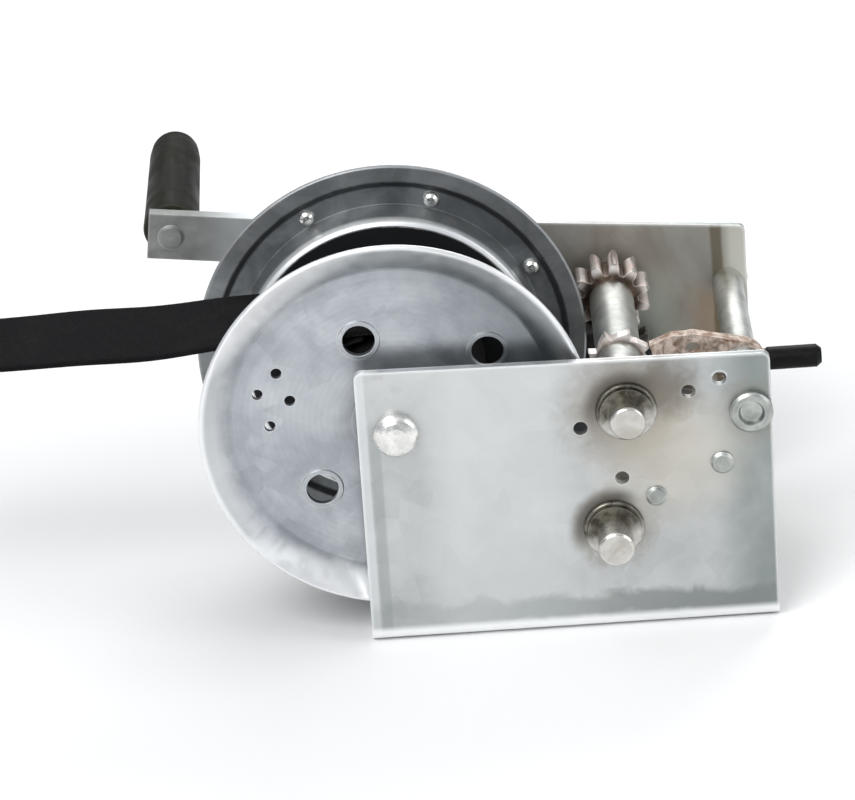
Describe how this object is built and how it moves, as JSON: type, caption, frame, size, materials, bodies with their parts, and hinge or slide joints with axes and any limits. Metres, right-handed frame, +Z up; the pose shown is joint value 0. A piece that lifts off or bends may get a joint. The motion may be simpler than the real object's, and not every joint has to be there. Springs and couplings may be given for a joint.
{
  "type": "boat trailer winch",
  "caption": "Two-speed hand winch on a bent U-frame, with a geared drum of flat strap, a crank with a turning grip, a ratchet pawl and a snap hook.",
  "frame": {"origin": "centre of the base's underside, on the face that bolts to the winch stand", "axes": "+Z up, -X towards the boat along the pull of the strap, +X to the rear, +Y the gear side where the crank is"},
  "size_m": [0.4712, 0.2695, 0.1699],
  "materials": {
    "zinc_sheet": "zinc plated, lightly stained",
    "zinc_bright": "zinc plated, bright",
    "gunmetal": "dark, worn",
    "pinion_steel": "greased and rusty",
    "shaft_steel": "turned",
    "bushing_steel": "oily and dark",
    "rusty_steel": "rusty",
    "grip_plastic": "moulded, worn",
    "vinyl": "dipped vinyl",
    "webbing": "woven polyester"
  },
  "bodies": {
    "frame": {"frame": "zinc_sheet", "shaft_bushings": "bushing_steel", "drum_axle_bolt": "zinc_bright", "axle_washer": "zinc_bright", "axle_nut": "zinc_bright", "axle_spacers": "zinc_sheet", "pawl_pin": "zinc_bright", "pawl_spacers": "zinc_sheet", "pawl_spring": "shaft_steel", "spring_post": "zinc_bright", "plate_rivet": "zinc_bright", "strap_run": "webbing"},
    "drum": {"outer_flange": "zinc_sheet", "drum_hub": "zinc_sheet", "inner_flange": "zinc_bright", "drum_gear": "gunmetal", "gear_rivets": "zinc_bright", "drum_bushings": "zinc_sheet", "strap_anchor_bolt": "zinc_bright", "strap_anchor_nut": "zinc_bright", "strap_roll": "webbing"},
    "lower_shaft": {"lower_shaft": "shaft_steel", "drum_pinion": "pinion_steel", "low_speed_gear": "gunmetal", "lower_spacers": "zinc_sheet", "lower_clips": "bushing_steel"},
    "crank": {"upper_shaft": "shaft_steel", "crank_pinion": "pinion_steel", "ratchet_wheel": "pinion_steel", "upper_spacers": "shaft_steel", "upper_clip": "bushing_steel", "crank_hub": "zinc_sheet", "crank_arm": "zinc_sheet", "crank_washer": "zinc_bright", "crank_nut": "zinc_bright", "grip_spindle": "zinc_bright"},
    "grip": {"grip": "grip_plastic"},
    "pawl": {"pawl": "rusty_steel", "pawl_sleeve": "vinyl"},
    "hook": {"strap_loop": "webbing", "hook": "zinc_bright", "latch_rivet": "zinc_bright", "latch_spring": "shaft_steel"},
    "latch": {"latch": "zinc_bright"}
  },
  "joints": [
    {"name": "crank_turn", "type": "hinge", "parent": "frame", "child": "crank", "pos_m": [0.0214, 0, 0.0948], "axis": [0, -1, 0], "range_deg": [0, 4700]},
    {"name": "lower_shaft_turn", "type": "hinge", "parent": "frame", "child": "lower_shaft", "pos_m": [0.01434, 0, 0.04449], "axis": [0, -1, 0], "range_deg": [-1784, 0]},
    {"name": "drum_turn", "type": "hinge", "parent": "frame", "child": "drum", "pos_m": [-0.0685, 0, 0.0915], "axis": [0, -1, 0], "range_deg": [0, 564]},
    {"name": "strap_payout", "type": "slide", "parent": "frame", "child": "hook", "axis": [-0.9994, 0, -0.0349], "range_m": [0, 0.3545], "deforming": ["strap_run"]},
    {"name": "grip_turn", "type": "hinge", "parent": "crank", "child": "grip", "pos_m": [-0.15726, 0.12, 0.11674], "axis": [0, 1, 0], "continuous": true},
    {"name": "pawl_swing", "type": "hinge", "parent": "frame", "child": "pawl", "pos_m": [0.0699, -0.0165, 0.0915], "axis": [0, 1, 0], "range_deg": [0, 22], "stiffness_Nm_per_rad": 0.2, "springref_deg": -34.38, "deforming": ["pawl_spring"]},
    {"name": "latch_open", "type": "hinge", "parent": "hook", "child": "latch", "pos_m": [-0.31361, -0.0135, 0.11896], "axis": [-0.0349, 0, 0.9994], "range_deg": [0, 24], "stiffness_Nm_per_rad": 0.03, "springref_deg": -28.65}
  ],
  "couplings": [
    {"joint": "lower_shaft_turn", "follows": "crank_turn", "ratio": -0.37931},
    {"joint": "drum_turn", "follows": "crank_turn", "ratio": 0.11978},
    {"joint": "strap_payout", "follows": "crank_turn", "m_per_rad": 0.0043122}
  ]
}
